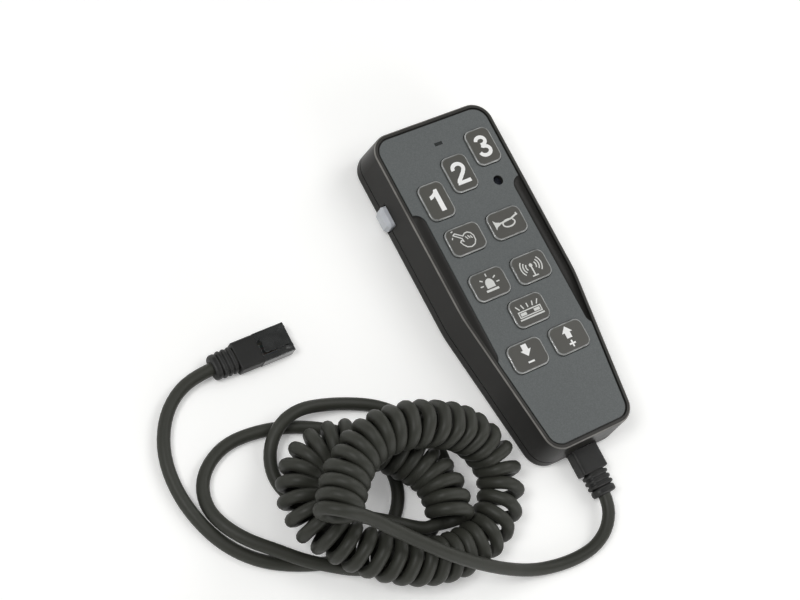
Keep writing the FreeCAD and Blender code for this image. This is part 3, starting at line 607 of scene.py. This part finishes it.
# turns of the coil round its route, closer or wider as the pitch says
def helixPoints():
    route = splineCurve("coilLine", [Vector(p) * mm for p in coilRoute])
    line, step = evenly(lineOf(route), cordLook["step"] * mm)
    bpy.data.objects.remove(route)
    last = len(line) - 1
    over = cordLook["aimOver"]
    ahead = [(line[min(i + over, last)] - line[max(i - over, 0)]).normalized() for i in range(last + 1)]
    angles = [0.0]
    for i in range(last):
        angles.append(angles[-1] + 2 * math.pi * step / (pitchAt(i / last) * mm))
    turns = angles[-1] / (2 * math.pi)
    # it starts at the top of the coil and ends at the bottom, where the cord runs off level
    wanted = round(turns - 0.5) + 0.5
    perTurn = cordLook["pointsPerTurn"]
    control = cordLook["turnRadius"] * mm / math.cos(math.pi / perTurn) ** 2
    side = ahead[0].cross(Vector((0, 0, 1))).normalized()
    points = []
    for i in range(last + 1):
        side = (side - ahead[i] * side.dot(ahead[i])).normalized()
        upward = side.cross(ahead[i])
        angle = angles[i] * wanted / turns
        if angle * perTurn >= 2 * math.pi * len(points) - 1e-6 or i == last:
            points.append(line[i] + (upward * math.cos(angle) - side * math.sin(angle)) * control)
    print("coil turns:", wanted, "points:", len(points))
    return points


def lengthOf(points):
    return sum((b - a).length for a, b in zip(points, points[1:]))


def makeCord():
    tailA = [Vector(p) * mm for p in tailFromHandset]
    tailB = [Vector(p) * mm for p in tailToFarPlug]
    points = tailA + helixPoints() + tailB
    cord = splineCurve("cord", points, cordLook["smoothness"])
    length = lengthOf(lineOf(cord))
    print("cord length in metres:", round(length, 3))
    cord.data.bevel_depth = cordLook["diameter"] / 2 * mm
    cord.data.bevel_resolution = cordLook["roundness"]
    cord.data.use_fill_caps = True
    cord.data.materials.append(finishes["cordPolyurethane"])
    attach(cord, "handset")
    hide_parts("cord_tail_handset", "cord_coil", "cord_tail_plug")


makeCord()

# lift is off the key's plate; shapes of one legend stand a step apart, so that none share a face
legendLook = {"lift": 0.012, "thickness": 0.03, "step": 0.0012, "digitStroke": 1.6, "line": 0.42}


# points on an ellipse, from one angle to another in degrees
def arcPoints(cx, cy, rx, ry, start, end, count=18):
    angles = [math.radians(start + (end - start) * i / count) for i in range(count + 1)]
    return [(cx + rx * math.cos(a), cy + ry * math.sin(a)) for a in angles]


def patch(points):
    return ("patch", points)


def stroke(points, width=None, closed=False):
    return ("stroke", points, width or legendLook["line"], closed)


def dot(cx, cy, radius):
    return patch(arcPoints(cx, cy, radius, radius, 0, 340, 17))


# left and right edges of a stroke whose joints are mitred, but never to more than twice its width
def strokeOutline(points, width, closed):
    flat = [Vector(p) for p in points]
    count = len(flat)
    left, right = [], []
    for i, here in enumerate(flat):
        before = flat[i - 1] if i or closed else None
        after = flat[(i + 1) % count] if i < count - 1 or closed else None
        first = (here - before).normalized() if before is not None else (after - here).normalized()
        second = (after - here).normalized() if after is not None else first
        normal = Vector((-first.y - second.y, first.x + second.x)).normalized()
        reach = width / 2 / max(normal.dot(Vector((-first.y, first.x))), 0.5)
        left.append(here + normal * reach)
        right.append(here - normal * reach)
    return left, right


one = [patch([(0.1, -4.6), (2.2, -4.6), (2.2, 4.6), (0.75, 4.6), (0.2, 3.6), (-0.8, 2.9), (-2.1, 2.5),
              (-2.1, 0.95), (-0.9, 1.3), (0.1, 1.9)])]
two = [stroke(arcPoints(0, 1.9, 2.3, 2.0, 188, -28)
              + [(1.2, -0.1), (-0.3, -1.5), (-1.8, -2.85), (-2.4, -3.9)], legendLook["digitStroke"]),
       patch([(-3.2, -4.6), (3.1, -4.6), (3.1, -3.15), (-2.6, -3.15)])]
three = [stroke(arcPoints(-0.1, 2.25, 2.05, 1.65, 172, -84) + [(-0.7, 0.6)], 1.5),
         stroke([(-0.7, 0.4)] + arcPoints(-0.1, -2.0, 2.4, 1.9, 88, -172), 1.55)]
hand = [stroke([(-4.3, 3.0), (-3.4, 3.5), (-0.6, 1.5), (0.5, 2.3), (1.8, 2.4), (3.0, 1.7), (3.7, 0.3),
                (3.6, -1.6), (2.6, -3.0), (0.8, -3.6), (-0.9, -3.1), (-2.0, -1.9), (-2.7, -0.5),
                (-2.0, 0.1), (-1.2, -0.6), (-1.4, 0.7)], 0.45, True),
        stroke([(0.2, 1.1), (0.9, -0.3)]), stroke([(1.3, 1.1), (1.9, -0.2)]),
        stroke([(2.3, 0.7), (2.8, -0.5)]), stroke([(-5.4, 1.5), (-4.9, 2.3)]),
        stroke([(-4.6, 4.4), (-3.7, 4.6)])]
bugle = [patch([(-5.6, 2.6), (-4.7, 1.6), (-3.2, 1.05), (-3.2, 0.05), (-4.7, -0.5), (-5.6, -1.5)]),
         stroke([(-3.3, 0.55), (2.4, 1.0), (5.3, 2.0)], 0.7),
         stroke(arcPoints(0.6, -0.35, 2.7, 1.5, 60, 400), 0.6),
         patch([(5.1, 1.4), (5.8, 1.7), (5.4, 2.8), (4.8, 2.5)])]
beacon = [patch([(-1.9, -1.5)] + arcPoints(0, 0, 1.9, 2.3, 180, 0) + [(1.9, -1.5)]),
          patch([(-2.8, -2.9), (2.8, -2.9), (2.8, -2.0), (-2.8, -2.0)])]
beacon += [stroke([(math.cos(a) * 2.9, math.sin(a) * 3.2), (math.cos(a) * 4.3, math.sin(a) * 4.4)], 0.5)
           for a in (math.radians(d) for d in (0, 35, 90, 145, 180))]
waves = [stroke(arcPoints(side * 0.6, 0.3, side * reach, reach, -42, 42, 8), 0.5)
         for side in (-1, 1) for reach in (1.7, 2.9, 4.1)]
waves += [stroke([(0, -3.7), (0, 0.4)], 0.6), stroke([(-1.4, -3.7), (1.4, -3.7)], 0.5), dot(0, 0.7, 0.75)]
lampBar = [stroke([(-5, -1.8), (5, -1.8), (5, 0.4), (-5, 0.4)], 0.45, True),
           patch([(-4.4, -1.3), (-1.7, -1.3), (-1.7, -0.1), (-4.4, -0.1)]),
           patch([(1.7, -1.3), (4.4, -1.3), (4.4, -0.1), (1.7, -0.1)]),
           stroke([(-5.6, -2.7), (5.6, -2.7)], 0.6)]
lampBar += [stroke([(x, 1.2), (x * 1.3, 3.0)], 0.5) for x in (-3.9, -2.0, 0, 2.0, 3.9)]
arrow = [(-1.2, -0.4), (-1.2, 1.9), (-2.35, 1.9), (0, 4.5), (2.35, 1.9), (1.2, 1.9), (1.2, -0.4)]
plus = [stroke([(-1.4, -2.7), (1.4, -2.7)], 0.7), stroke([(0, -4.1), (0, -1.3)], 0.7)]
minus = [stroke([(-1.4, -2.7), (1.4, -2.7)], 0.7)]
louder = [patch(arrow)] + plus
quieter = [patch([(x, 4.1 - y) for x, y in reversed(arrow)])] + minus

boldKeys = ("one", "two", "three", "volume_down", "volume_up")
legends = {
    "one": one, "two": two, "three": three, "manual": hand, "horn": bugle, "siren": beacon,
    "radio": waves, "lightbar": lampBar, "volume_down": quieter, "volume_up": louder,
}


# drawn flat in mm, made solid, then brought to its key
def makeLegend(key, shapes):
    low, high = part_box("key_label_" + key)
    middle = (low + high) / 2
    bm = bmesh.new()
    for level, shape in enumerate(shapes):
        z = level * legendLook["step"]

        def corner(point):
            return bm.verts.new((point[0], point[1], z))

        if shape[0] == "patch":
            bm.faces.new([corner(point) for point in shape[1]])
        else:
            left, right = strokeOutline(shape[1], shape[2], shape[3])
            left = [corner(point) for point in left]
            right = [corner(point) for point in right]
            for i in range(len(left) if shape[3] else len(left) - 1):
                j = (i + 1) % len(left)
                bm.faces.new((left[i], right[i], right[j], left[j]))
    for face in bm.faces:
        face.normal_update()
    bmesh.ops.triangulate(bm, faces=bm.faces, ngon_method="EAR_CLIP")
    for face in bm.faces:
        face.normal_update()
        if face.normal.z < 0:
            face.normal_flip()
    sides = bmesh.ops.extrude_face_region(bm, geom=bm.faces[:])
    top = [part for part in sides["geom"] if isinstance(part, bmesh.types.BMVert)]
    bmesh.ops.translate(bm, verts=top, vec=(0, 0, legendLook["thickness"]))
    bmesh.ops.recalc_face_normals(bm, faces=bm.faces)
    start = Matrix.Translation((middle.x, middle.y, high.z + legendLook["lift"] * mm))
    bmesh.ops.transform(bm, matrix=start @ Matrix.Scale(mm, 4), verts=bm.verts)
    legend = meshObject("legend_" + key, bm)
    dress(legend, "whiteInk" if key in boldKeys else "greyInk")
    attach(legend, "key_" + key)


for key, shapes in legends.items():
    makeLegend(key, shapes)
print("legends made:", len(legends))


# an empty tree with named inputs: its nodes, its input node and its output socket
def startPattern(name, sizes):
    tree = bpy.data.node_groups.new(name, "GeometryNodeTree")
    for label, value in sizes.items():
        kind = "NodeSocketInt" if isinstance(value, int) else "NodeSocketFloat"
        tree.interface.new_socket(label, in_out="INPUT", socket_type=kind).default_value = value
    tree.interface.new_socket("Geometry", in_out="OUTPUT", socket_type="NodeSocketGeometry")
    return tree, addNode(tree, "NodeGroupInput").outputs


def endPattern(tree, geometry, finish):
    whole = addNode(tree, "GeometryNodeRealizeInstances", links={"Geometry": geometry})
    dressed = addNode(tree, "GeometryNodeSetMaterial", links={"Geometry": whole.outputs["Geometry"]})
    dressed.inputs["Material"].default_value = finishes[finish]
    tree.links.new(dressed.outputs["Geometry"], addNode(tree, "NodeGroupOutput").inputs["Geometry"])


# the pattern worked out with its sizes and left as a plain mesh in place
def fromPattern(name, tree, sizes, matrix):
    carrier = bpy.data.objects.new(name + "Carrier", bpy.data.meshes.new(name + "Carrier"))
    scene.collection.objects.link(carrier)
    modifier = carrier.modifiers.new("pattern", "NODES")
    modifier.node_group = tree
    for socket in tree.interface.items_tree:
        if socket.in_out == "INPUT":
            modifier[socket.identifier] = sizes[socket.name]
    bpy.context.view_layer.update()
    ready = carrier.evaluated_get(bpy.context.evaluated_depsgraph_get())
    mesh = bpy.data.meshes.new_from_object(ready)
    carrier.modifiers.remove(modifier)
    bpy.data.objects.remove(carrier)
    mesh.transform(matrix)
    mesh.name = name
    obj = bpy.data.objects.new(name, mesh)
    scene.collection.objects.link(obj)
    return obj


# wire is a thread's radius, and weave is how far it rises and falls
meshLook = {"pitch": 0.34, "wire": 0.075, "weave": 0.06, "samplesPerWire": 70, "sides": 6}


# woven mesh over the microphone: threads both ways, each over and under the others in turn
def makeMicMesh():
    low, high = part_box("mic_mesh")
    radius = (high.x - low.x) / 2
    sizes = {"Radius": radius - meshLook["wire"] * mm, "Pitch": meshLook["pitch"] * mm,
             "Wire radius": meshLook["wire"] * mm, "Weave": meshLook["weave"] * mm}
    tree, given = startPattern("wovenWire", {label: float(value) for label, value in sizes.items()})
    ways = addNode(tree, "GeometryNodeJoinGeometry")
    profile = addNode(tree, "GeometryNodeCurvePrimitiveCircle", {"Resolution": meshLook["sides"]},
                      {"Radius": given["Wire radius"]})
    steps = addNode(tree, "ShaderNodeMath", links={0: given["Radius"], 1: given["Pitch"]},
                    operation="DIVIDE")
    half = addNode(tree, "ShaderNodeMath", links={0: steps.outputs[0]}, operation="FLOOR")
    count = addNode(tree, "ShaderNodeMath", {1: 2.0, 2: 1.0}, {0: half.outputs[0]},
                    operation="MULTIPLY_ADD")
    first = addNode(tree, "ShaderNodeMath", links={0: half.outputs[0], 1: given["Pitch"]},
                    operation="MULTIPLY")
    back = addNode(tree, "ShaderNodeMath", {1: -1.0}, {0: first.outputs[0]}, operation="MULTIPLY")
    startPlace = addNode(tree, "ShaderNodeCombineXYZ", links={"Y": back.outputs[0]})
    offset = addNode(tree, "ShaderNodeCombineXYZ", links={"Y": given["Pitch"]})
    row = addNode(tree, "GeometryNodeMeshLine", links={"Count": count.outputs[0],
                  "Start Location": startPlace.outputs[0], "Offset": offset.outputs[0]}, mode="OFFSET")
    # each thread reaches the rim: half its length is the root of radius squared less its distance squared
    at = addNode(tree, "ShaderNodeSeparateXYZ",
                 links={0: addNode(tree, "GeometryNodeInputPosition").outputs[0]})
    squared = addNode(tree, "ShaderNodeMath", {1: 2.0}, {0: at.outputs["Y"]}, operation="POWER")
    radiusSquared = addNode(tree, "ShaderNodeMath", {1: 2.0}, {0: given["Radius"]}, operation="POWER")
    left = addNode(tree, "ShaderNodeMath", links={0: radiusSquared.outputs[0], 1: squared.outputs[0]},
                   operation="SUBTRACT")
    reach = addNode(tree, "ShaderNodeMath", links={0: left.outputs[0]}, operation="SQRT")
    stretch = addNode(tree, "ShaderNodeCombineXYZ", {"Y": 1.0, "Z": 1.0}, {"X": reach.outputs[0]})
    line = addNode(tree, "GeometryNodeCurvePrimitiveLine", {"Start": (-1, 0, 0), "End": (1, 0, 0)})
    fine = addNode(tree, "GeometryNodeResampleCurve", {"Count": meshLook["samplesPerWire"]},
                   {"Curve": line.outputs["Curve"]})
    wires = addNode(tree, "GeometryNodeInstanceOnPoints",
                    links={"Points": row.outputs["Mesh"], "Instance": fine.outputs["Curve"],
                           "Scale": stretch.outputs[0]})
    real = addNode(tree, "GeometryNodeRealizeInstances", links={"Geometry": wires.outputs["Instances"]})
    for turn, sign in ((0.0, 1.0), (math.pi / 2, -1.0)):
        laid = addNode(tree, "GeometryNodeTransform", {"Rotation": (0, 0, turn)},
                       {"Geometry": real.outputs["Geometry"]})
        here = addNode(tree, "ShaderNodeSeparateXYZ",
                       links={0: addNode(tree, "GeometryNodeInputPosition").outputs[0]})
        waves = []
        for axis in ("X", "Y"):
            share = addNode(tree, "ShaderNodeMath", links={0: here.outputs[axis], 1: given["Pitch"]},
                            operation="DIVIDE")
            angle = addNode(tree, "ShaderNodeMath", {1: math.pi}, {0: share.outputs[0]},
                            operation="MULTIPLY")
            waves.append(addNode(tree, "ShaderNodeMath", links={0: angle.outputs[0]}, operation="COSINE"))
        both = addNode(tree, "ShaderNodeMath", links={0: waves[0].outputs[0], 1: waves[1].outputs[0]},
                       operation="MULTIPLY")
        signed = addNode(tree, "ShaderNodeMath", {1: sign}, {0: both.outputs[0]}, operation="MULTIPLY")
        rise = addNode(tree, "ShaderNodeMath", links={0: signed.outputs[0], 1: given["Weave"]},
                       operation="MULTIPLY")
        lift = addNode(tree, "ShaderNodeCombineXYZ", links={"Z": rise.outputs[0]})
        woven = addNode(tree, "GeometryNodeSetPosition",
                        links={"Geometry": laid.outputs["Geometry"], "Offset": lift.outputs[0]})
        tube = addNode(tree, "GeometryNodeCurveToMesh", {"Fill Caps": True},
                       {"Curve": woven.outputs["Geometry"], "Profile Curve": profile.outputs["Curve"]})
        tree.links.new(tube.outputs["Mesh"], ways.inputs["Geometry"])
    endPattern(tree, ways.outputs["Geometry"], "navyPolyester")
    middle = (low + high) / 2
    wire = fromPattern("mic_wire", tree, sizes, Matrix.Translation(middle))
    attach(wire, "handset")
    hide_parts("mic_mesh")


# the cord's conductors inside the clear plug, gathered towards the boot
def makePlugWires():
    sizes = {"Count": wireRun["count"], "Pitch": wireRun["pitch"] * mm,
             "Wire radius": wireRun["radius"] * mm, "Length": wireRun["length"] * mm,
             "Gather": wireRun["gather"]}
    tree, given = startPattern("conductors", sizes)
    offset = addNode(tree, "ShaderNodeCombineXYZ", links={"Y": given["Pitch"]})
    row = addNode(tree, "GeometryNodeMeshLine", mode="OFFSET",
                  links={"Count": given["Count"], "Offset": offset.outputs[0]})
    lessOne = addNode(tree, "ShaderNodeMath", {1: 1.0}, {0: given["Count"]}, operation="SUBTRACT")
    span = addNode(tree, "ShaderNodeMath", links={0: lessOne.outputs[0], 1: given["Pitch"]},
                   operation="MULTIPLY")
    centre = addNode(tree, "ShaderNodeMath", {1: -0.5}, {0: span.outputs[0]}, operation="MULTIPLY")
    shift = addNode(tree, "ShaderNodeCombineXYZ", links={"Y": centre.outputs[0]})
    centred = addNode(tree, "GeometryNodeTransform", links={"Geometry": row.outputs["Mesh"],
                      "Translation": shift.outputs[0]})
    away = addNode(tree, "ShaderNodeMath", {1: -1.0}, {0: given["Length"]}, operation="MULTIPLY")
    end = addNode(tree, "ShaderNodeCombineXYZ", links={"X": away.outputs[0]})
    line = addNode(tree, "GeometryNodeCurvePrimitiveLine", links={"End": end.outputs[0]})
    fine = addNode(tree, "GeometryNodeResampleCurve", {"Count": wireRun["samples"]},
                   {"Curve": line.outputs["Curve"]})
    wires = addNode(tree, "GeometryNodeInstanceOnPoints",
                    links={"Points": centred.outputs["Geometry"], "Instance": fine.outputs["Curve"]})
    real = addNode(tree, "GeometryNodeRealizeInstances", links={"Geometry": wires.outputs["Instances"]})
    at = addNode(tree, "ShaderNodeSeparateXYZ",
                 links={0: addNode(tree, "GeometryNodeInputPosition").outputs[0]})
    along = addNode(tree, "ShaderNodeMapRange", {"To Min": 1.0, "From Min": 0.0},
                    {"Value": at.outputs["X"], "From Max": away.outputs[0], "To Max": given["Gather"]},
                    interpolation_type="SMOOTHSTEP")
    across = addNode(tree, "ShaderNodeMath", links={0: at.outputs["Y"], 1: along.outputs["Result"]},
                     operation="MULTIPLY")
    place = addNode(tree, "ShaderNodeCombineXYZ",
                    links={"X": at.outputs["X"], "Y": across.outputs[0], "Z": at.outputs["Z"]})
    bent = addNode(tree, "GeometryNodeSetPosition",
                   links={"Geometry": real.outputs["Geometry"], "Position": place.outputs[0]})
    profile = addNode(tree, "GeometryNodeCurvePrimitiveCircle", {"Resolution": wireRun["sides"]},
                      {"Radius": given["Wire radius"]})
    tube = addNode(tree, "GeometryNodeCurveToMesh", {"Fill Caps": True},
                   {"Curve": bent.outputs["Geometry"], "Profile Curve": profile.outputs["Curve"]})
    endPattern(tree, tube.outputs["Mesh"], "wireInsulation")
    low, high = plugBox
    start = Vector((high.x - wireRun["fromNose"] * mm, (low.y + high.y) / 2,
                    (low.z + high.z) / 2 + wireRun["lift"] * mm))
    wires = fromPattern("plug_conductors", tree, sizes, Matrix.Translation(start))
    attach(wires, "handset")


makeMicMesh()
makePlugWires()
print("woven mesh and conductors made")
